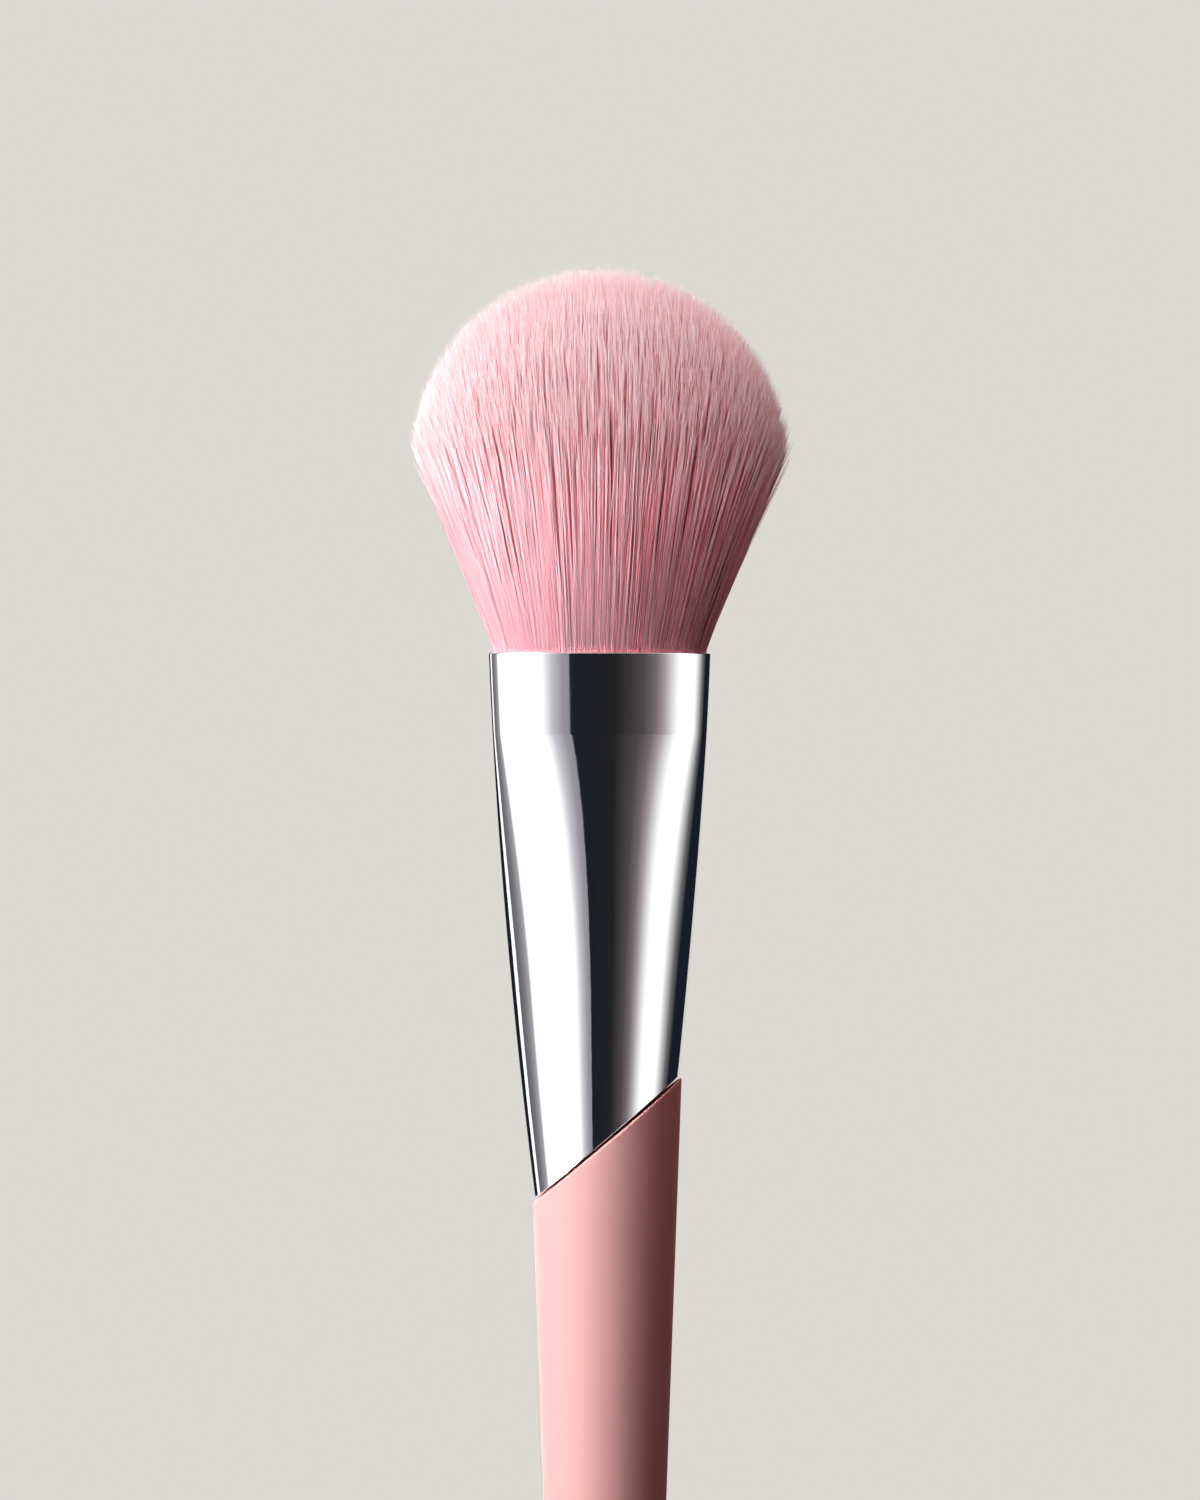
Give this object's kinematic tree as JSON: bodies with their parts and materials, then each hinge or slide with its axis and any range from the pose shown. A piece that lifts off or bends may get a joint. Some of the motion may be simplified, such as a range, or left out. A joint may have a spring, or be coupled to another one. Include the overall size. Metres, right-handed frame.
{
  "type": "bronzer brush",
  "caption": "Make-up brush with a domed bristle tuft in an oval-mouthed metal ferrule, joined on a slant to a tapered soft-touch handle.",
  "frame": {"origin": "middle of the flat butt of the handle, at the lowest point of the standing brush", "axes": "+Z from the handle's butt to the top of the tuft, +X towards the side where the slanted joint is higher, Y across, within 4 degrees of the way through the flattened front and back of the head"},
  "size_m": [0.0384, 0.024, 0.175],
  "materials": {
    "bristle": "soft synthetic filament, pale at the tips",
    "glued_root": "filaments set in clear glue",
    "thread": "waxed thread",
    "glue": "set epoxy glue",
    "ferrule_metal": "polished, cool silver",
    "soft_touch": "matte soft-touch coating, pale rose",
    "weight_steel": "plain turned steel",
    "stopper": "plain rubber"
  },
  "bodies": {
    "root": {"bristle_tuft": "bristle", "tuft_root_block": "glued_root", "binding_thread": "thread", "root_glue_plug": "glue", "ferrule": "ferrule_metal", "tenon_glue_ring": "glue", "handle": "soft_touch", "balance_weight": "weight_steel", "core_plug": "stopper"}
  },
  "joints": []
}
